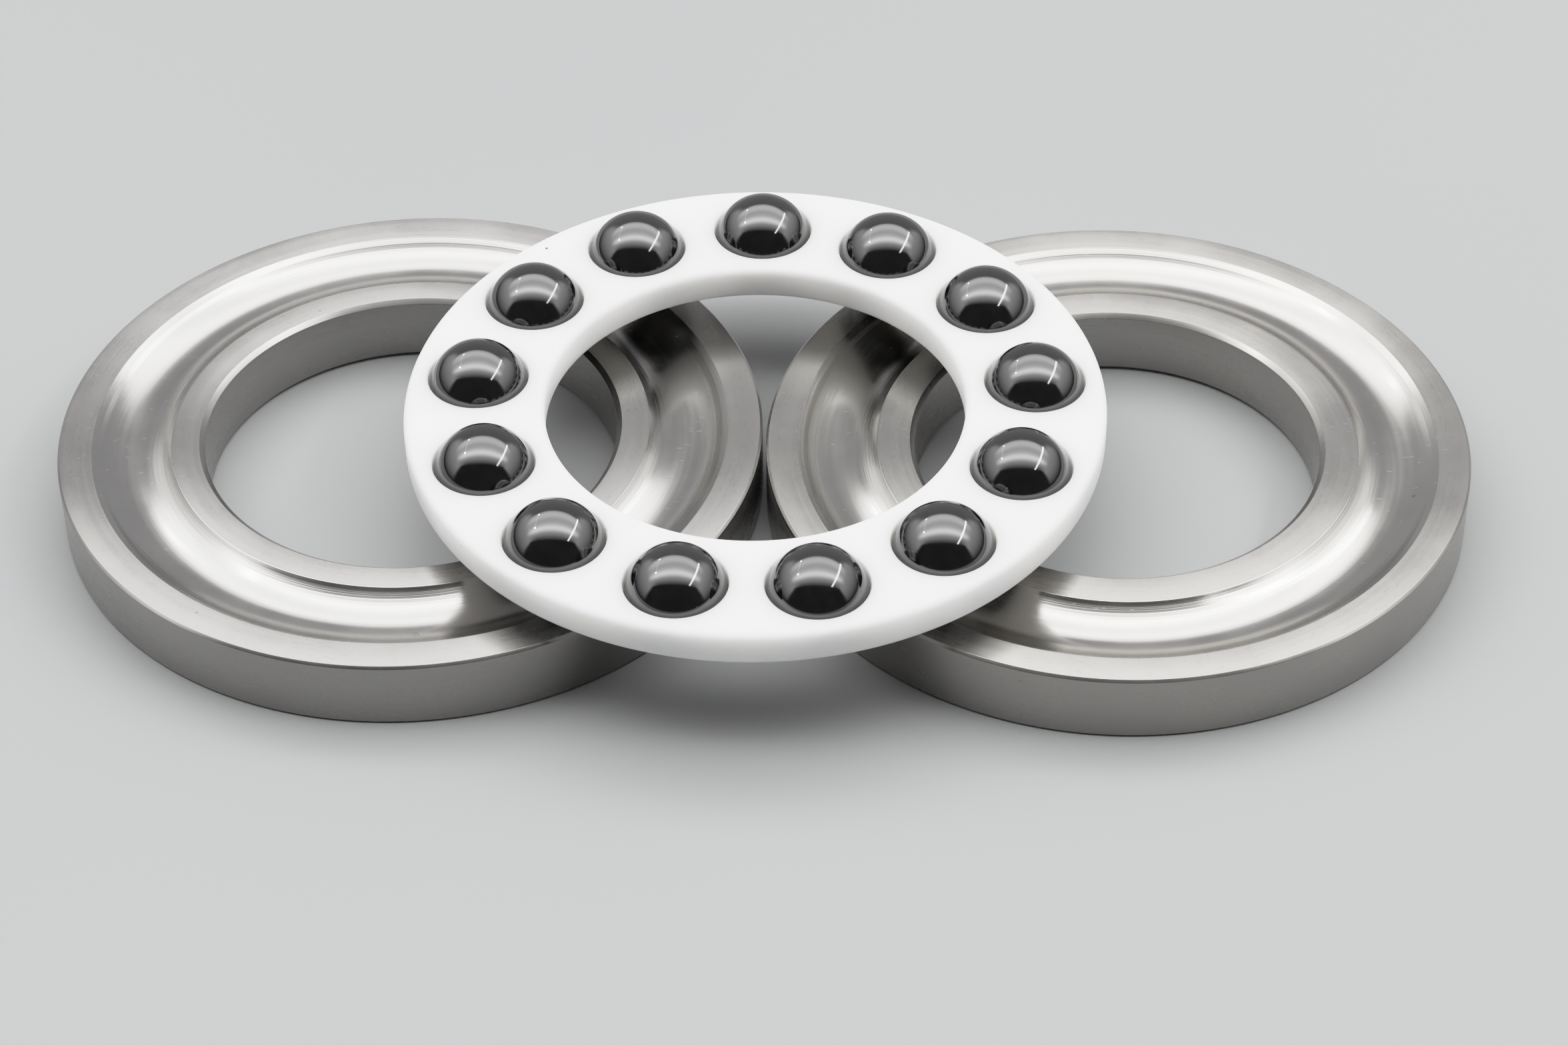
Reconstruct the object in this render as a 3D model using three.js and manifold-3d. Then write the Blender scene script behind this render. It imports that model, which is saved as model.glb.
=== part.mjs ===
// Single-direction thrust ball bearing, laid open: two grooved washers side by side on
// their seat faces, and the caged ball ring lying level across both of them.
// Millimetres, +Z up. Origin: on the seat-face plane, at the middle of the whole footprint.
import * as THREE from 'three';
import { mergeVertices } from 'three/addons/utils/BufferGeometryUtils.js';
import Module from 'manifold-3d';

// ---- driving dimensions (mm) ----
const HOUSING_OD = 140;
const HOUSING_BORE = 82;
const SHAFT_OD = 139;
const SHAFT_BORE = 80;
const WASHER_T = 14.3;
const RIM_CHAMFER = 0.5;
const BORE_CHAMFER_WIDTH = 1.0;
const BORE_CHAMFER_DEPTH = 0.85;
const HOUSING_CENTRE = [-69.9, 1.8];
const SHAFT_CENTRE = [70.4, 1.8];

const RACE_R = 55.2;
const RACE_ARC_R = 10.8;
const RACE_DEPTH = 3.2;
const RACE_ARC_OUTER = 6.75;
const RACE_OUTER_EDGE = 8.0;

const BALL_D = 19.5;
const BALL_COUNT = 13;
const BALL_LIFT = 0.3;
const BALL_PHASE_DEG = -158.3;

const CAGE_OD = 137.4;
const CAGE_BORE = 82.4;
const CAGE_T = 7;
const CAGE_EDGE = 1.4;
const CAGE_CENTRE = [-0.9, -3.1];
const CAGE_ABOVE_BALL_CENTRE = 2.95;
const POCKET_R = 9.95;
const POCKET_LIP_R = 9.25;
const POCKET_STRAIGHT = 5.4;

const WASHER_SEGMENTS = 64;
const CAGE_SEGMENTS = 78;
const BALL_SEGMENTS = 22;
const BALL_RINGS = 11;
const POCKET_SEGMENTS = 26;

const wasm = await Module();
wasm.setup();

// ---- materials ----
function steel(colour) {
  return new THREE.MeshStandardMaterial({ color: colour, roughness: 0.32, metalness: 1 });
}

function whitePolymer() {
  return new THREE.MeshStandardMaterial({ color: 0xf4f4f1, roughness: 0.5, metalness: 0 });
}

function blackCeramic() {
  return new THREE.MeshStandardMaterial({ color: 0x0b0b0c, roughness: 0.06, metalness: 0 });
}

// ---- geometry helpers ----
// Turns a closed (r, z) outline about the Z axis.
function turned(outline, segments) {
  const points = outline.map(([r, z]) => new THREE.Vector2(r, z));
  const lathe = new THREE.LatheGeometry(points, segments);
  lathe.rotateX(Math.PI / 2);
  lathe.deleteAttribute('normal');
  lathe.deleteAttribute('uv');
  return mergeVertices(lathe, 1e-5);
}

function toManifold(geometry) {
  return new wasm.Manifold(new wasm.Mesh({
    numProp: 3,
    vertProperties: Float32Array.from(geometry.attributes.position.array),
    triVerts: Uint32Array.from(geometry.index.array),
  }));
}

function fromManifold(solid) {
  const mesh = solid.getMesh();
  const geometry = new THREE.BufferGeometry();
  geometry.setAttribute('position', new THREE.BufferAttribute(mesh.vertProperties, 3));
  geometry.setIndex(new THREE.BufferAttribute(mesh.triVerts, 1));
  return geometry;
}

function named(name, geometry, material) {
  geometry.computeVertexNormals();
  const mesh = new THREE.Mesh(geometry, material);
  mesh.name = name;
  return mesh;
}

// ---- washers ----
// Raceway from the outer land to the inner land: a shallow shoulder, then the ball's arc,
// which runs out at the height of the inner land.
function raceOutline() {
  const arcCentreZ = WASHER_T - RACE_DEPTH + RACE_ARC_R;
  const outerAngle = Math.asin(RACE_ARC_OUTER / RACE_ARC_R);
  const innerAngle = -Math.acos((RACE_ARC_R - RACE_DEPTH) / RACE_ARC_R);
  const steps = 8;
  const points = [[RACE_R + RACE_OUTER_EDGE, WASHER_T]];
  for (let i = 0; i <= steps; i += 1) {
    const a = outerAngle + ((innerAngle - outerAngle) * i) / steps;
    points.push([RACE_R + RACE_ARC_R * Math.sin(a), arcCentreZ - RACE_ARC_R * Math.cos(a)]);
  }
  return points;
}

function washer(outerD, boreD) {
  const ro = outerD / 2;
  const ri = boreD / 2;
  const rim = RIM_CHAMFER;
  const landEdge = ri + BORE_CHAMFER_WIDTH;
  const drop = BORE_CHAMFER_DEPTH;
  const outline = [
    [landEdge, 0],
    [ro - rim, 0],
    [ro, rim],
    [ro, WASHER_T - rim],
    [ro - rim, WASHER_T],
    ...raceOutline(),
    [landEdge, WASHER_T],
    [ri, WASHER_T - drop],
    [ri, drop],
    [landEdge, 0],
  ];
  return turned(outline, WASHER_SEGMENTS);
}

// ---- cage ----
function cageRing() {
  const ro = CAGE_OD / 2;
  const ri = CAGE_BORE / 2;
  const h = CAGE_T;
  const e = CAGE_EDGE;
  const k = e * (1 - Math.SQRT1_2);
  const outline = [
    [ri + e, 0],
    [ro - e, 0],
    [ro - k, k],
    [ro, e],
    [ro, h - e],
    [ro - k, h - k],
    [ro - e, h],
    [ri + e, h],
    [ri + k, h - k],
    [ri, h - e],
    [ri, e],
    [ri + k, k],
    [ri + e, 0],
  ];
  return turned(outline, CAGE_SEGMENTS);
}

// Pocket cutter: straight bore from the top, then a cone down to the lip that keeps the ball.
function pocketCutter() {
  const over = 1;
  const straightZ = CAGE_T - POCKET_STRAIGHT;
  const slope = (POCKET_R - POCKET_LIP_R) / straightZ;
  const outline = [
    [0, -over],
    [POCKET_LIP_R - slope * over, -over],
    [POCKET_R, straightZ],
    [POCKET_R, CAGE_T + over],
    [0, CAGE_T + over],
  ];
  return turned(outline, POCKET_SEGMENTS);
}

function pocketAngle(i) {
  return THREE.MathUtils.degToRad(BALL_PHASE_DEG) + (2 * Math.PI * i) / BALL_COUNT;
}

function cage() {
  let solid = toManifold(cageRing());
  for (let i = 0; i < BALL_COUNT; i += 1) {
    const a = pocketAngle(i);
    const cutter = pocketCutter();
    cutter.rotateZ(a);
    cutter.translate(RACE_R * Math.cos(a), RACE_R * Math.sin(a), 0);
    solid = solid.subtract(toManifold(cutter));
  }
  return fromManifold(solid);
}

// ---- balls ----
function ball() {
  const r = BALL_D / 2;
  const outline = [];
  for (let i = 0; i <= BALL_RINGS; i += 1) {
    const a = -Math.PI / 2 + (Math.PI * i) / BALL_RINGS;
    const onAxis = i === 0 || i === BALL_RINGS;
    outline.push([onAxis ? 0 : r * Math.cos(a), r * Math.sin(a)]);
  }
  return turned(outline, BALL_SEGMENTS);
}

// ---- assembly ----
const part = new THREE.Group();
part.name = 'thrust_ball_bearing';

const housingWasher = washer(HOUSING_OD, HOUSING_BORE);
housingWasher.translate(...HOUSING_CENTRE, 0);
part.add(named('housing_washer', housingWasher, steel(0xc9c6c1)));

const shaftWasher = washer(SHAFT_OD, SHAFT_BORE);
shaftWasher.translate(...SHAFT_CENTRE, 0);
part.add(named('shaft_washer', shaftWasher, steel(0xc6c4c0)));

const ballZ = WASHER_T + BALL_LIFT + BALL_D / 2;
const cageZ = ballZ + CAGE_ABOVE_BALL_CENTRE - CAGE_T;
const cageBody = cage();
cageBody.translate(...CAGE_CENTRE, cageZ);
part.add(named('cage', cageBody, whitePolymer()));

for (let i = 0; i < BALL_COUNT; i += 1) {
  const a = pocketAngle(i);
  const geometry = ball();
  geometry.rotateZ(a);
  geometry.translate(
    CAGE_CENTRE[0] + RACE_R * Math.cos(a),
    CAGE_CENTRE[1] + RACE_R * Math.sin(a),
    ballZ,
  );
  part.add(named(`ball_${String(i + 1).padStart(2, '0')}`, geometry, blackCeramic()));
}

export default part;
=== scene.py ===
"""Thrust ball bearing laid open: steel washers, white fluoropolymer cage, black ceramic balls."""
import math

import bmesh
import bpy
from mathutils import Euler, Matrix, Vector

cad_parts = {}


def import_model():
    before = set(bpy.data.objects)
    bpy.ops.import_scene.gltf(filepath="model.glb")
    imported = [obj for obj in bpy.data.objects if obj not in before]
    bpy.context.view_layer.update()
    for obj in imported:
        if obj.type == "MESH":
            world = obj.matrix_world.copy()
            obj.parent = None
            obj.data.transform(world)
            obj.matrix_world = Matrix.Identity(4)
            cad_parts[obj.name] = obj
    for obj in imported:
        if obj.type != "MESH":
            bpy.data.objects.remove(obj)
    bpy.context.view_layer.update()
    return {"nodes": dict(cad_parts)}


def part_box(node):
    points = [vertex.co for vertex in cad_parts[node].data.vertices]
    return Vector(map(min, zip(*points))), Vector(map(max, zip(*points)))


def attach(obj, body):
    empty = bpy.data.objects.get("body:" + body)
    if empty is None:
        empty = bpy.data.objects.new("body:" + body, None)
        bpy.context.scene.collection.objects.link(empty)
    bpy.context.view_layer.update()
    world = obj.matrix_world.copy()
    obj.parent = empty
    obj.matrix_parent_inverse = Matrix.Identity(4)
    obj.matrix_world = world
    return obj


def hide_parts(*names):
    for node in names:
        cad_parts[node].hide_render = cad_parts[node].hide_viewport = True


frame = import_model()

# ---- sizes, in metres ----
MM = 0.001
BALLS = sorted(n for n in frame["nodes"] if n.startswith("ball_"))

WASHER_SEGMENTS = 288
RIM_CHAMFER = 0.5 * MM
BORE_CHAMFER_WIDTH = 1.0 * MM
BORE_CHAMFER_DEPTH = 0.85 * MM
EDGE_ROUND = 0.12 * MM
RACE_RADIUS = 55.2 * MM
RACE_ARC = 10.8 * MM
RACE_DEPTH = 3.2 * MM
RACE_ARC_OUTER = 6.75 * MM
RACE_OUTER_EDGE = 8.0 * MM
RACE_BLEND = 1.2 * MM
RACE_STEPS = 56

CAGE_EDGE = 1.3 * MM
POCKET_RADIUS = 9.95 * MM
POCKET_EDGE = 0.35 * MM
POCKET_LIP = 9.2 * MM
POCKET_LIP_HEIGHT = 1.6 * MM
POCKET_ARC_STEPS = 26
POCKET_SIDE_STEPS = 16
POCKET_LAYERS = 5

# ---- finishes ----
# steel by zone, as (rims and bore, lands, raceway)
STEEL_ROUGH = (0.26, 0.28, 0.19)
STEEL_ANISO = (0.75, 0.88, 0.70)
# base colour scale per zone: painted shade that darkens the rims and bore against the lands and
# raceway
STEEL_PAINTED_SHADE = (0.64, 0.81, 0.82)
HOUSING_TINT = (0.53, 0.519, 0.503)
# the shaft washer's tint is lighter and warmer than the housing washer's: painted light for the
# brighter light on its side
SHAFT_PAINTED_LIGHT_TINT = (0.57, 0.557, 0.532)

# turning marks, as (cells per metre across them, cells round the piece)
FINE_RINGS = (2300, 0.5)
BROAD_RINGS = (900, 0.8)
LAND_DASHES = (2100, 36.0)
CAGE_RINGS = (2600, 2.0)
FINE_HEIGHT = 0.032 * MM
BROAD_HEIGHT = 0.012 * MM
DENT_DEPTH = 0.01 * MM
RING_STRENGTH = (0.08, 0.08, 0.33)

# scratches, as (angle, length, width, share of cells)
SCRATCHES = ((0.6, 4 * MM, 0.09 * MM, 0.02), (-0.9, 3 * MM, 0.08 * MM, 0.02))
SCRATCH_EDGE = (0.05, 0.2)
# spots, as (cells per metre, share of cells, core radius, whole radius), radii in cells
STEEL_PITS = (260, 0.012, 0.05, 0.12)
PTFE_SPECKS = (150, 0.015, 0.02, 0.045)
CERAMIC_SPECKS = (700, 0.012, 0.08, 0.2)
# single marks, placed in millimetres from a piece's centre
RING_DENT = (6.96, -57.5, 11.47)
RING_DENT_RADIUS = 0.5 * MM
RING_DENT_WIDTH = 0.15 * MM
CAGE_SPECK = (-44.9, 47.4, 7.0)
CAGE_SPECK_EDGE = (0.2 * MM, 0.45 * MM)

# uneven surfaces, as (noise scale, detail, roughness of the noise)
STEEL_CLOUD = (38, 4.0, 0.6)
PTFE_CLOUD = (60, 3.0, 0.5)
PTFE_GRAIN = (1800, 3.0, 0.5)
CERAMIC_SMEAR = (130, 3.0, 0.6)
CERAMIC_BODY = (420, 2.0, 0.5)
NOISE_SPAN = (0.3, 0.7)

PTFE_DARK = (0.90, 0.895, 0.875, 1)
PTFE_LIGHT = (0.94, 0.94, 0.93, 1)
PTFE_SPECK = (0.16, 0.14, 0.12, 1)
PTFE_ROUGH = (0.36, 0.52)
PTFE_IOR = 1.38
PTFE_SUBSURFACE = 0.9
PTFE_SCATTER = (1.0, 0.95, 0.88)
PTFE_DEPTH = 6.0 * MM
CERAMIC_DARK = (0.003, 0.003, 0.0035, 1)
CERAMIC_LIGHT = (0.006, 0.006, 0.0065, 1)
CERAMIC_DUST = (0.12, 0.12, 0.12, 1)
CERAMIC_ROUGH = (0.05, 0.10)
CERAMIC_IOR = 2.05
FLOOR_DARK = (0.315, 0.32, 0.325, 1)
FLOOR_LIGHT = (0.35, 0.352, 0.352, 1)
FLOOR_ROUGH = 0.55
FLOOR_HALF = 3.0

# ---- camera ----
LENS_MM = 92.3
SENSOR_MM = 36.0
VIEW_AZIMUTH = math.radians(2.80)
VIEW_ELEVATION = math.radians(41.10)
VIEW_ROLL = math.radians(-0.76)
VIEW_DISTANCE = 0.778
VIEW_TARGET = Vector((0.0055, -0.0248, 0.0143))

# ---- film: scene brightness against shown brightness, both linear ----
FILM_WHITE = 3.0
FILM_STOPS = ((0.25, 0.25), (0.5, 0.5), (0.7, 0.66), (1.0, 0.79), (1.4, 0.87), (2.0, 0.94))

# ---- light tent: brightness against how far a direction leans back (y / z) ----
CEILING_STOPS = (
    (-0.70, 0.08),
    (-0.50, 0.45),
    (-0.38, 1.0),
    (-0.20, 2.4),
    (-0.03, 5.0),
    (0.15, 3.3),
    (0.35, 2.5),
    (0.60, 3.3),
    (0.86, 2.8),
    (1.05, 1.1),
    (1.20, 0.65),
    (1.60, 0.60),
)
WALL_LIGHT = 3.0
FRONT_LIGHT = 0.05
REAR_LIGHT = 0.48
BACKDROP = (0.62, 0.63, 0.64, 1)

# where the tent's parts meet, as tangents: a soft edge from the first value to the second
WALL_EDGE = (0.7, 1.7)
FRONT_TOP = (-0.62, -0.44)
FRONT_SIDES = (1.9, 3.0)
REAR_TOP = (0.95, 1.12)
REAR_SIDES = (0.7, 1.1)

# lamps facing straight down, as (name, place, size, radiance, turn in degrees, shape):
# the right strip is long and bright, the left one is seen mostly as two spots
LAMPS = (
    ("strip_right", (0.86, 0.20, 1.0), (0.09, 1.6), 8.0, -12, "RECTANGLE"),
    ("strip_left", (-0.72, 0.42, 1.0), (0.05, 0.8), 0.8, -8, "RECTANGLE"),
    ("spot_rear", (-0.66, 0.78, 0.98), (0.075, 0.075), 15.0, 0, "ELLIPSE"),
    ("spot_front", (-0.78, 0.06, 0.98), (0.075, 0.075), 20.0, 0, "ELLIPSE"),
)


# ---- measuring the frame ----
def turned_size(node):
    """Centre, inner and outer radius, and lowest and highest z of a CAD node turned about Z."""
    low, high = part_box(node)
    centre = Vector(((low.x + high.x) / 2, (low.y + high.y) / 2, 0))
    vertices = frame["nodes"][node].data.vertices
    radii = [(Vector((v.co.x, v.co.y, 0)) - centre).length for v in vertices]
    return centre, min(radii), max(radii), low.z, high.z


def node_centre(node):
    low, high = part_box(node)
    return (low + high) / 2


# ---- mesh helpers ----
def new_object(name, bm, place, smooth_below=math.radians(28)):
    """Turns a bmesh into a shaded object standing at place."""
    bmesh.ops.recalc_face_normals(bm, faces=bm.faces)
    mesh = bpy.data.meshes.new(name)
    bm.to_mesh(mesh)
    bm.free()
    mesh.polygons.foreach_set("use_smooth", [True] * len(mesh.polygons))
    mesh.set_sharp_from_angle(angle=smooth_below)
    obj = bpy.data.objects.new(name, mesh)
    obj.location = place
    bpy.context.scene.collection.objects.link(obj)
    return obj


def filleted(corners, steps=4):
    """Rounds an outline of (r, z, fillet radius) corners into (r, z) points."""
    points = []
    count = len(corners)
    for i, (r, z, fillet) in enumerate(corners):
        here = Vector((r, z))
        if fillet <= 0:
            points.append((r, z))
            continue
        back = Vector(corners[i - 1][:2]) - here
        ahead = Vector(corners[(i + 1) % count][:2]) - here
        turn = back.angle(ahead)
        reach = min(fillet / math.tan(turn / 2), 0.45 * back.length, 0.45 * ahead.length)
        radius = reach * math.tan(turn / 2)
        inward = (back.normalized() + ahead.normalized()).normalized()
        middle = here + inward * radius / math.sin(turn / 2)
        start = here + back.normalized() * reach - middle
        end = here + ahead.normalized() * reach - middle
        sweep = start.angle_signed(end)
        for k in range(steps + 1):
            spoke = start.copy()
            spoke.rotate(Matrix.Rotation(-sweep * k / steps, 2))
            points.append((middle.x + spoke.x, middle.y + spoke.y))
    return points


def lathe(outline, segments):
    """A closed (r, z) outline turned about Z."""
    bm = bmesh.new()
    rings = []
    for s in range(segments):
        a = 2 * math.pi * s / segments
        rings.append([bm.verts.new((r * math.cos(a), r * math.sin(a), z)) for r, z in outline])
    for s in range(segments):
        here, after = rings[s], rings[(s + 1) % segments]
        for k in range(len(outline)):
            j = (k + 1) % len(outline)
            bm.faces.new((here[k], after[k], after[j], here[j]))
    return bm


# ---- washers ----
def race_corners(top):
    """The raceway from outer to inner edge: shallow shoulder, blend, then the ball's arc."""
    centre_z = top - RACE_DEPTH + RACE_ARC
    outer = math.asin(RACE_ARC_OUTER / RACE_ARC)
    inner = -math.acos((RACE_ARC - RACE_DEPTH) / RACE_ARC)
    corners = [(RACE_RADIUS + RACE_OUTER_EDGE, top, EDGE_ROUND)]
    for i in range(RACE_STEPS + 1):
        a = outer + (inner - outer) * i / RACE_STEPS
        fillet = RACE_BLEND if i == 0 else EDGE_ROUND if i == RACE_STEPS else 0
        r = RACE_RADIUS + RACE_ARC * math.sin(a)
        corners.append((r, centre_z - RACE_ARC * math.cos(a), fillet))
    return corners


def washer(node):
    centre, inner, outer, bottom, top = turned_size(node)
    corners = [
        (inner + BORE_CHAMFER_WIDTH, bottom, EDGE_ROUND),
        (outer - RIM_CHAMFER, bottom, EDGE_ROUND),
        (outer, bottom + RIM_CHAMFER, EDGE_ROUND),
        (outer, top - RIM_CHAMFER, EDGE_ROUND),
        (outer - RIM_CHAMFER, top, EDGE_ROUND),
        *race_corners(top),
        (inner + BORE_CHAMFER_WIDTH, top, EDGE_ROUND),
        (inner, top - BORE_CHAMFER_DEPTH, EDGE_ROUND),
        (inner, bottom + BORE_CHAMFER_DEPTH, EDGE_ROUND),
    ]
    bm = lathe(filleted(corners), WASHER_SEGMENTS)
    return new_object(node + "_ground", bm, centre)


# ---- cage ----
def quarter(start, end, centre, steps=5):
    """Points of a quarter round from start to end about centre, all (a, b) pairs."""
    first = Vector(start) - Vector(centre)
    last = Vector(end) - Vector(centre)
    points = []
    for k in range(steps + 1):
        t = k / steps * math.pi / 2
        p = Vector(centre) + first * math.cos(t) + last * math.sin(t)
        points.append((p.x, p.y))
    return points


def rim_profile(edge_r, height, e, outward):
    """(r, z) down a rounded rim at edge_r, outward +1 for the outer rim and -1 for the bore."""
    inset = edge_r - outward * e
    down = quarter((inset, height), (edge_r, height - e), (inset, height - e))
    return down + quarter((edge_r, e), (inset, 0), (inset, e))


def pocket_profile(height):
    """(r, z) down a pocket: small rounded edge, straight wall, then the lip that keeps the ball."""
    e = POCKET_EDGE
    mouth = POCKET_RADIUS + e
    points = quarter((mouth, height), (POCKET_RADIUS, height - e), (mouth, height - e), 3)
    rows = 6
    for k in range(1, rows):
        points.append((POCKET_RADIUS, height - e + (POCKET_LIP_HEIGHT - height + e) * k / rows))
    for k in range(5):
        t = k / 4 * math.pi / 2
        r = POCKET_LIP + (POCKET_RADIUS - POCKET_LIP) * math.cos(t)
        points.append((r, POCKET_LIP_HEIGHT - (POCKET_LIP_HEIGHT - 2 * e) * math.sin(t)))
    return points + quarter((POCKET_LIP, e), (POCKET_LIP + e, 0), (POCKET_LIP + e, e), 3)


def sector_boundary(angle, width, inner, outer):
    """Points round one sector of the flat face, starting at its outer right corner."""
    a0, a1 = angle - width / 2, angle + width / 2
    arc = POCKET_ARC_STEPS
    side = POCKET_SIDE_STEPS
    polar = [(outer, a0 + width * k / arc) for k in range(arc)]
    polar += [(outer + (inner - outer) * k / side, a1) for k in range(side)]
    polar += [(inner, a1 - width * k / arc) for k in range(arc)]
    polar += [(inner + (outer - inner) * k / side, a0) for k in range(side)]
    return [Vector((r * math.cos(a), r * math.sin(a), 0)) for r, a in polar]


def bridge(bm, upper, lower, closed=True):
    count = len(upper)
    for k in range(count if closed else count - 1):
        j = (k + 1) % count
        bm.faces.new((upper[k], upper[j], lower[j], lower[k]))


def cage_sector(bm, angle, width, inner, outer, height):
    """One pocket and the ring round it, out to the sector's sides."""
    middle = Vector((RACE_RADIUS * math.cos(angle), RACE_RADIUS * math.sin(angle), 0))
    boundary = sector_boundary(angle, width, inner + CAGE_EDGE, outer - CAGE_EDGE)
    spokes = [(p - middle).normalized() for p in boundary]
    loops = []
    wall = pocket_profile(height)
    for r, z in wall:
        loops.append([bm.verts.new(middle + d * r + Vector((0, 0, z))) for d in spokes])
    top, bottom = [], []
    for face, (r0, z) in ((top, wall[0]), (bottom, wall[-1])):
        for k in range(1, POCKET_LAYERS + 1):
            t = k / POCKET_LAYERS
            ring = []
            for p, d in zip(boundary, spokes):
                q = (middle + d * r0).lerp(p, t)
                ring.append(bm.verts.new((q.x, q.y, z)))
            face.append(ring)
    for upper, lower in zip(loops, loops[1:]):
        bridge(bm, upper, lower)
    for start, face in ((loops[0], top), (loops[-1], bottom)):
        for upper, lower in zip([start] + face, face):
            bridge(bm, upper, lower)
    cage_rims(bm, angle, width, inner, outer, height)


def cage_rims(bm, angle, width, inner, outer, height):
    for edge_r, outward in ((outer, 1), (inner, -1)):
        rows = []
        for r, z in rim_profile(edge_r, height, CAGE_EDGE, outward):
            row = []
            for k in range(POCKET_ARC_STEPS + 1):
                a = angle - width / 2 + width * k / POCKET_ARC_STEPS
                row.append(bm.verts.new((r * math.cos(a), r * math.sin(a), z)))
            rows.append(row)
        for upper, lower in zip(rows, rows[1:]):
            bridge(bm, upper, lower, closed=False)


def cage():
    centre, inner, outer, bottom, top = turned_size("cage")
    bm = bmesh.new()
    width = 2 * math.pi / len(BALLS)
    for node in BALLS:
        across = node_centre(node) - centre
        cage_sector(bm, math.atan2(across.y, across.x), width, inner, outer, top - bottom)
    bmesh.ops.remove_doubles(bm, verts=bm.verts, dist=0.01 * MM)
    return new_object("cage_turned", bm, centre + Vector((0, 0, bottom)), math.radians(40))


# ---- balls ----
def ball(node):
    """A sphere of even quads, a cube's faces blown out to the radius."""
    low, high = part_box(node)
    radius = (high.z - low.z) / 2
    bm = bmesh.new()
    bmesh.ops.create_cube(bm, size=2)
    bmesh.ops.subdivide_edges(bm, edges=bm.edges, cuts=27, use_grid_fill=True)
    for v in bm.verts:
        bend = [math.tan(c * math.pi / 4) for c in v.co]
        v.co = Vector(bend).normalized() * radius
    return new_object(node + "_lapped", bm, node_centre(node), math.radians(60))


# ---- node helpers ----
class Nodes:
    """Short calls for building a node tree."""

    def __init__(self, tree):
        self.tree = tree
        tree.nodes.clear()

    def add(self, kind, **settings):
        node = self.tree.nodes.new(kind)
        for key, value in settings.items():
            setattr(node, key, value)
        return node

    def link(self, source, target):
        self.tree.links.new(source, target)
        return target

    def feed(self, socket, value):
        if isinstance(value, bpy.types.NodeSocket):
            self.link(value, socket)
        else:
            socket.default_value = value

    def math(self, operation, *values, clamp=False):
        node = self.add("ShaderNodeMath", operation=operation, use_clamp=clamp)
        for socket, v in zip(node.inputs, values):
            self.feed(socket, v)
        return node.outputs[0]

    def remap(self, value, low, high, to_low, to_high):
        node = self.add("ShaderNodeMapRange", interpolation_type="SMOOTHSTEP")
        for socket, v in zip(node.inputs, (value, low, high, to_low, to_high)):
            self.feed(socket, v)
        return node.outputs[0]

    def noise(self, vector, scale, detail=2.0, roughness=0.5, w=None):
        node = self.add("ShaderNodeTexNoise", noise_dimensions="3D" if w is None else "4D")
        self.link(vector, node.inputs["Vector"])
        if w is not None:
            self.link(w, node.inputs["W"])
        node.inputs["Scale"].default_value = scale
        node.inputs["Detail"].default_value = detail
        node.inputs["Roughness"].default_value = roughness
        return node.outputs["Fac"]

    def mix(self, amount, a, b):
        node = self.add("ShaderNodeMix", data_type="RGBA")
        self.feed(node.inputs["Factor"], amount)
        self.feed(node.inputs["A"], a)
        self.feed(node.inputs["B"], b)
        return node.outputs["Result"]

    def combine(self, x, y, z):
        node = self.add("ShaderNodeCombineXYZ")
        for socket, v in zip(node.inputs, (x, y, z)):
            self.feed(socket, v)
        return node.outputs[0]

    def separate(self, vector):
        node = self.add("ShaderNodeSeparateXYZ")
        self.link(vector, node.inputs[0])
        return node.outputs

    def bump(self, height, distance, strength=1.0, normal=None):
        node = self.add("ShaderNodeBump")
        node.inputs["Strength"].default_value = strength
        node.inputs["Distance"].default_value = distance
        self.link(height, node.inputs["Height"])
        if normal is not None:
            self.link(normal, node.inputs["Normal"])
        return node.outputs[0]


def material(name):
    mat = bpy.data.materials.new(name)
    mat.use_nodes = True
    nodes = Nodes(mat.node_tree)
    shader = nodes.add("ShaderNodeBsdfPrincipled")
    output = nodes.add("ShaderNodeOutputMaterial")
    nodes.link(shader.outputs[0], output.inputs[0])
    return mat, nodes, shader


def shifted(nodes, seed):
    """Object coordinates, moved by seed so that two pieces never share a pattern."""
    coords = nodes.add("ShaderNodeTexCoord").outputs["Object"]
    node = nodes.add("ShaderNodeVectorMath", operation="ADD")
    nodes.link(coords, node.inputs[0])
    node.inputs[1].default_value = (seed, 2.3 * seed, -1.7 * seed)
    return coords, node.outputs[0]


def radius_of(nodes, coords):
    x, y, _ = nodes.separate(coords)
    x_squared = nodes.math("MULTIPLY", x, x)
    y_squared = nodes.math("MULTIPLY", y, y)
    return nodes.math("SQRT", nodes.math("ADD", x_squared, y_squared))


def round_lines(nodes, coords, rings, detail=2.0):
    """Noise that changes fast across the turning marks and slowly along them, with no seam."""
    per_metre, spread = rings
    x, y, z = nodes.separate(coords)
    radius = radius_of(nodes, coords)
    vector = nodes.combine(
        nodes.math("MULTIPLY", radius, per_metre),
        nodes.math("MULTIPLY", nodes.math("DIVIDE", x, radius), spread),
        nodes.math("MULTIPLY", nodes.math("DIVIDE", y, radius), spread),
    )
    return nodes.noise(vector, 1.0, detail, w=nodes.math("MULTIPLY", z, per_metre))


def spots(nodes, coords, scale, share, core, whole):
    """Round spots in a share of the cells, 1 in the core of a spot and 0 outside."""
    cells = nodes.add("ShaderNodeTexVoronoi", feature="F1")
    nodes.link(coords, cells.inputs["Vector"])
    cells.inputs["Scale"].default_value = scale
    chosen = nodes.math("LESS_THAN", nodes.separate(cells.outputs["Color"])[0], share)
    near = nodes.remap(cells.outputs["Distance"], core, whole, 1.0, 0.0)
    return nodes.math("MULTIPLY", near, chosen)


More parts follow.
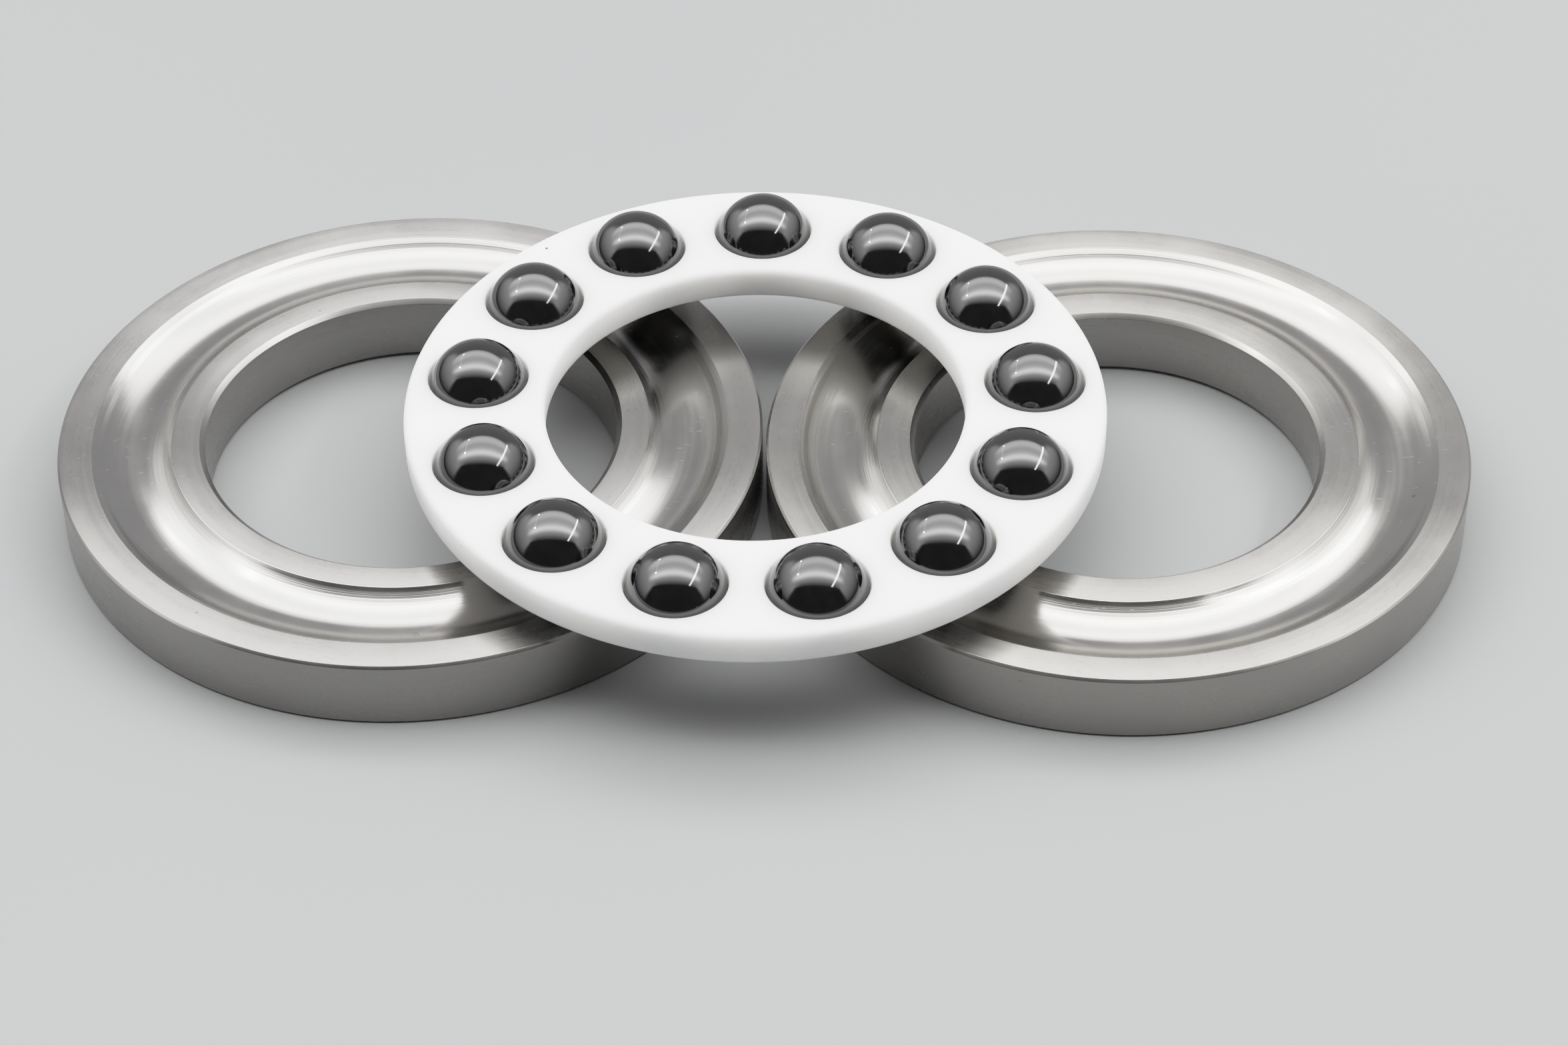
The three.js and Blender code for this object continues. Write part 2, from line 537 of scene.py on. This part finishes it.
def scratches(nodes, coords, angle, length, width, share):
    """Short straight scratches, 1 inside a scratch and 0 outside."""
    turn = nodes.add("ShaderNodeMapping")
    nodes.link(coords, turn.inputs["Vector"])
    turn.inputs["Rotation"].default_value = (0, 0, angle)
    turn.inputs["Scale"].default_value = (1 / length, 1 / width, 1 / length)
    return spots(nodes, turn.outputs[0], 1.0, share, *SCRATCH_EDGE)


# ---- materials ----
def steel_zones(nodes, coords):
    """Masks for the flat lands, for the raceway and for the raceway's two sides, all 0 to 1."""
    normal_z = nodes.separate(nodes.add("ShaderNodeNewGeometry").outputs["Normal"])[2]
    flat = nodes.remap(nodes.math("ABSOLUTE", normal_z), 0.997, 0.9999, 0.0, 1.0)
    off_middle = nodes.math("SUBTRACT", radius_of(nodes, coords), RACE_RADIUS)
    from_middle = nodes.math("ABSOLUTE", off_middle)
    in_race = nodes.math("LESS_THAN", from_middle, RACE_OUTER_EDGE - 0.05 * MM)
    race = nodes.math("MULTIPLY", in_race, nodes.math("GREATER_THAN", normal_z, 0.3))
    sides = nodes.math("MULTIPLY", race, nodes.remap(from_middle, 1.5 * MM, 4.6 * MM, 0.0, 1.0))
    land = nodes.math("MULTIPLY", flat, nodes.math("SUBTRACT", 1.0, race))
    return land, race, sides


def by_zone(nodes, land, race, values):
    """One of three values, picked by the zone masks."""
    wall_value, land_value, race_value = values
    total = nodes.math("MULTIPLY_ADD", land, land_value - wall_value, wall_value)
    return nodes.math("MULTIPLY_ADD", race, race_value - wall_value, total)


def distance_to(nodes, coords, place):
    """Distance to a place given in millimetres."""
    node = nodes.add("ShaderNodeVectorMath", operation="DISTANCE")
    nodes.link(coords, node.inputs[0])
    node.inputs[1].default_value = [v * MM for v in place]
    return node.outputs["Value"]


def ring_mark(nodes, coords, place, radius, width):
    """A thin ring stamped round a place, 1 on the ring."""
    off = nodes.math("ABSOLUTE", nodes.math("SUBTRACT", distance_to(nodes, coords, place), radius))
    return nodes.remap(off, 0.3 * width, width, 1.0, 0.0)


def grey(tint, factor):
    return tuple(min(1.0, c * factor) for c in tint) + (1.0,)


def steel_wear(nodes, coords, moved, metal, dented):
    """Masks of the light scratches and of the dark pits."""
    marks = [scratches(nodes, moved, *scratch) for scratch in SCRATCHES]
    marks = nodes.math("MULTIPLY", nodes.math("MAXIMUM", *marks), metal)
    pits = spots(nodes, moved, *STEEL_PITS)
    if dented:
        ring = ring_mark(nodes, coords, RING_DENT, RING_DENT_RADIUS, RING_DENT_WIDTH)
        pits = nodes.math("MAXIMUM", pits, ring)
    return marks, pits


def steel_tone(nodes, tint, cloud, worn, painted_shade, marks, pits):
    """Base colour: faint clouds and dashes, painted shade by zone (rims and bore darker), then
    scratches and pits.
    """
    clouded = nodes.remap(cloud, *NOISE_SPAN, 0.0, 1.0)
    tone = nodes.mix(clouded, grey(tint, 0.96), grey(tint, 1.04))
    tone = nodes.mix(worn, tone, grey(tint, 0.7))
    painted_shaded = nodes.add("ShaderNodeVectorMath", operation="SCALE")
    nodes.link(tone, painted_shaded.inputs[0])
    nodes.link(painted_shade, painted_shaded.inputs["Scale"])
    tone = nodes.mix(nodes.math("MULTIPLY", marks, 0.45), painted_shaded.outputs[0], grey(tint, 1.35))
    return nodes.mix(nodes.math("MULTIPLY", pits, 0.6), tone, grey(tint, 0.35))


def steel(name, tint, seed, dented=False):
    """Ground lands and rims, turned raceway, with fine rings, uneven sheen and light wear."""
    mat, nodes, shader = material(name)
    coords, moved = shifted(nodes, seed)
    land, race, sides = steel_zones(nodes, coords)
    fine = round_lines(nodes, coords, FINE_RINGS, 3.0)
    broad = round_lines(nodes, coords, BROAD_RINGS)
    dashes = round_lines(nodes, coords, LAND_DASHES)
    cloud = nodes.noise(moved, *STEEL_CLOUD)
    metal = nodes.math("ADD", land, race, clamp=True)
    marks, pits = steel_wear(nodes, coords, moved, metal, dented)

    rough = by_zone(nodes, land, race, STEEL_ROUGH)
    rough = nodes.math("ADD", rough, nodes.remap(cloud, *NOISE_SPAN, -0.025, 0.03))
    rough = nodes.math("ADD", rough, nodes.remap(broad, *NOISE_SPAN, -0.02, 0.02))
    rough = nodes.math("ADD", rough, nodes.math("MULTIPLY", marks, 0.1))
    nodes.link(rough, shader.inputs["Roughness"])

    worn = nodes.math("MULTIPLY", nodes.remap(dashes, 0.56, 0.72, 0.0, 0.3), land)
    # base colour scaled by zone: painted shade on the rims and bore
    painted_shade = by_zone(nodes, land, race, STEEL_PAINTED_SHADE)
    tone = steel_tone(nodes, tint, cloud, worn, painted_shade, marks, pits)
    nodes.link(tone, shader.inputs["Base Color"])
    shader.inputs["Metallic"].default_value = 1.0

    tangent = nodes.add("ShaderNodeTangent", direction_type="RADIAL", axis="Z")
    nodes.link(tangent.outputs[0], shader.inputs["Tangent"])
    nodes.link(by_zone(nodes, land, race, STEEL_ANISO), shader.inputs["Anisotropic"])
    shader.inputs["Anisotropic Rotation"].default_value = 0.25

    strength = nodes.math("ADD", by_zone(nodes, land, race, RING_STRENGTH), sides)
    ripple = nodes.math("MULTIPLY", fine, strength)
    normal = nodes.bump(ripple, FINE_HEIGHT)
    normal = nodes.bump(broad, BROAD_HEIGHT, 0.3, normal)
    dents = nodes.math("MULTIPLY", nodes.math("MAXIMUM", marks, pits), -1.0)
    normal = nodes.bump(dents, DENT_DEPTH, 0.6, normal)
    nodes.link(normal, shader.inputs["Normal"])
    return mat


def white_polymer():
    """Machined white fluoropolymer: waxy, faintly clouded, with turning marks and a few specks."""
    mat, nodes, shader = material("white_fluoropolymer")
    coords, moved = shifted(nodes, 4.2)
    cloud = nodes.noise(moved, *PTFE_CLOUD)
    fine = round_lines(nodes, coords, CAGE_RINGS)
    grain = nodes.noise(moved, *PTFE_GRAIN)
    speck = spots(nodes, moved, *PTFE_SPECKS)
    mark = nodes.remap(distance_to(nodes, coords, CAGE_SPECK), *CAGE_SPECK_EDGE, 1.0, 0.0)
    speck = nodes.math("MAXIMUM", speck, mark)
    base = nodes.mix(nodes.remap(cloud, *NOISE_SPAN, 0.0, 1.0), PTFE_DARK, PTFE_LIGHT)
    nodes.link(nodes.mix(speck, base, PTFE_SPECK), shader.inputs["Base Color"])
    nodes.link(nodes.remap(grain, 0.2, 0.8, *PTFE_ROUGH), shader.inputs["Roughness"])
    shader.inputs["IOR"].default_value = PTFE_IOR
    shader.inputs["Subsurface Weight"].default_value = PTFE_SUBSURFACE
    shader.inputs["Subsurface Radius"].default_value = PTFE_SCATTER
    shader.inputs["Subsurface Scale"].default_value = PTFE_DEPTH
    normal = nodes.bump(fine, 0.01 * MM, 0.4)
    normal = nodes.bump(grain, 0.01 * MM, 0.3, normal)
    nodes.link(normal, shader.inputs["Normal"])
    return mat


def black_ceramic():
    """Lapped silicon nitride: near-black, mirror bright, with faint smears and dust."""
    mat, nodes, shader = material("black_silicon_nitride")
    moved = shifted(nodes, 7.7)[1]
    own = nodes.add("ShaderNodeObjectInfo").outputs["Random"]
    offset = nodes.add("ShaderNodeVectorMath", operation="ADD")
    nodes.link(moved, offset.inputs[0])
    nodes.link(nodes.combine(own, own, own), offset.inputs[1])
    place = offset.outputs[0]
    smear = nodes.noise(place, *CERAMIC_SMEAR)
    body = nodes.noise(place, *CERAMIC_BODY)
    speck = spots(nodes, place, *CERAMIC_SPECKS)
    base = nodes.mix(nodes.remap(body, *NOISE_SPAN, 0.0, 1.0), CERAMIC_DARK, CERAMIC_LIGHT)
    nodes.link(nodes.mix(speck, base, CERAMIC_DUST), shader.inputs["Base Color"])
    rough = nodes.remap(smear, 0.35, 0.75, *CERAMIC_ROUGH)
    rough = nodes.math("ADD", rough, nodes.math("MULTIPLY", speck, 0.3))
    nodes.link(rough, shader.inputs["Roughness"])
    shader.inputs["IOR"].default_value = CERAMIC_IOR
    nodes.link(nodes.bump(body, 0.001 * MM, 0.2), shader.inputs["Normal"])
    return mat


def pale_floor():
    mat, nodes, shader = material("pale_floor")
    coords = nodes.add("ShaderNodeTexCoord").outputs["Object"]
    cloud = nodes.noise(coords, 3.0, 3.0)
    nodes.link(nodes.mix(cloud, FLOOR_DARK, FLOOR_LIGHT), shader.inputs["Base Color"])
    shader.inputs["Roughness"].default_value = FLOOR_ROUGH
    return mat


# ---- stage, light, camera ----
def floor(mat):
    bm = bmesh.new()
    bmesh.ops.create_grid(bm, x_segments=8, y_segments=8, size=FLOOR_HALF)
    obj = new_object("stage_floor", bm, (0, 0, 0))
    obj.data.materials.append(mat)


def area_light(name, place, size, radiance, turn, shape):
    """A flat lamp facing straight down, set by the brightness of its face."""
    data = bpy.data.lights.new(name, "AREA")
    data.shape = shape
    data.size, data.size_y = size
    data.energy = radiance * math.pi * size[0] * size[1]
    obj = bpy.data.objects.new(name, data)
    obj.location = place
    obj.rotation_euler = (0, 0, math.radians(turn))
    bpy.context.scene.collection.objects.link(obj)


def ramp(nodes, value, stops):
    """Brightness as a smooth curve through (value, brightness) stops."""
    first, last = stops[0][0], stops[-1][0]
    peak = max(bright for _, bright in stops)
    curve = nodes.add("ShaderNodeValToRGB")
    curve.color_ramp.interpolation = "CARDINAL"
    place = nodes.math("DIVIDE", nodes.math("SUBTRACT", value, first), last - first, clamp=True)
    nodes.link(place, curve.inputs[0])
    elements = curve.color_ramp.elements
    while len(elements) < len(stops):
        elements.new(0.5)
    for element, (at, bright) in zip(elements, stops):
        element.position = (at - first) / (last - first)
        element.color = (bright / peak, bright / peak, bright / peak, 1)
    return nodes.math("MULTIPLY", curve.outputs[0], peak)


def tent_light(nodes):
    """Brightness of the light tent: ceiling, side walls, open front and back wall."""
    x, y, z = nodes.separate(nodes.add("ShaderNodeTexCoord").outputs["Generated"])
    up = nodes.math("MAXIMUM", z, 0.02)
    side = nodes.math("ABSOLUTE", x)
    across = nodes.math("DIVIDE", side, up)
    along = nodes.math("DIVIDE", y, up)
    ceiling = ramp(nodes, along, CEILING_STOPS)
    falloff = nodes.math("ADD", 1.0, nodes.math("MULTIPLY", 0.5, nodes.math("POWER", across, 1.2)))
    wall = nodes.math("DIVIDE", WALL_LIGHT, falloff)
    above = nodes.mix(nodes.remap(across, *WALL_EDGE, 0.0, 1.0), ceiling, wall)
    ahead = nodes.math("MAXIMUM", nodes.math("MULTIPLY", y, -1.0), 0.01)
    behind = nodes.math("MAXIMUM", y, 0.01)
    front = nodes.math(
        "MULTIPLY",
        nodes.remap(along, *FRONT_TOP, 1.0, 0.0),
        nodes.remap(nodes.math("DIVIDE", side, ahead), *FRONT_SIDES, 1.0, 0.0),
    )
    rear = nodes.math(
        "MULTIPLY",
        nodes.remap(along, *REAR_TOP, 0.0, 1.0),
        nodes.remap(nodes.math("DIVIDE", side, behind), *REAR_SIDES, 1.0, 0.0),
    )
    lit = nodes.mix(front, above, (FRONT_LIGHT, FRONT_LIGHT, FRONT_LIGHT, 1))
    return nodes.mix(rear, lit, (REAR_LIGHT, REAR_LIGHT, REAR_LIGHT * 1.03, 1))


def world():
    scene = bpy.context.scene
    scene.world = bpy.data.worlds.new("light_tent")
    scene.world.use_nodes = True
    nodes = Nodes(scene.world.node_tree)
    seen = nodes.add("ShaderNodeLightPath").outputs["Is Camera Ray"]
    back = nodes.add("ShaderNodeBackground")
    nodes.link(nodes.mix(seen, tent_light(nodes), BACKDROP), back.inputs["Color"])
    output = nodes.add("ShaderNodeOutputWorld")
    nodes.link(back.outputs[0], output.inputs[0])


def camera():
    data = bpy.data.cameras.new("camera")
    data.lens = LENS_MM
    data.sensor_width = SENSOR_MM
    data.sensor_fit = "HORIZONTAL"
    data.clip_start = 0.01
    obj = bpy.data.objects.new("camera", data)
    back = Vector((
        math.sin(VIEW_AZIMUTH) * math.cos(VIEW_ELEVATION),
        -math.cos(VIEW_AZIMUTH) * math.cos(VIEW_ELEVATION),
        math.sin(VIEW_ELEVATION),
    ))
    obj.location = VIEW_TARGET + back * VIEW_DISTANCE
    turn = Euler((math.pi / 2 - VIEW_ELEVATION, 0, VIEW_AZIMUTH)).to_quaternion()
    roll = Euler((0, 0, VIEW_ROLL)).to_quaternion()
    obj.rotation_euler = (turn @ roll).to_euler()
    bpy.context.scene.collection.objects.link(obj)
    bpy.context.scene.camera = obj


def film_response():
    """Straight up to mid grey, then a soft shoulder, so that the white cage keeps its shading."""
    view = bpy.context.scene.view_settings
    view.view_transform = "Standard"
    view.use_curve_mapping = True
    mapping = view.curve_mapping
    mapping.white_level = (FILM_WHITE, FILM_WHITE, FILM_WHITE)
    curve = mapping.curves[3]
    for light, shown in FILM_STOPS:
        curve.points.new(light / FILM_WHITE, shown)
    mapping.update()


# ---- assembly ----
def install(obj, node, mat):
    obj.data.materials.append(mat)
    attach(obj, node)
    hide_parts(node)


housing_steel = steel("housing_steel", HOUSING_TINT, 1.0, dented=True)
# shaft washer steel with a lighter tint: painted light
shaft_steel = steel("shaft_steel", SHAFT_PAINTED_LIGHT_TINT, 2.9)
install(washer("housing_washer"), "housing_washer", housing_steel)
install(washer("shaft_washer"), "shaft_washer", shaft_steel)
install(cage(), "cage", white_polymer())
ceramic = black_ceramic()
for node in BALLS:
    install(ball(node), node, ceramic)

floor(pale_floor())
for lamp in LAMPS:
    area_light(*lamp)
world()
camera()
film_response()
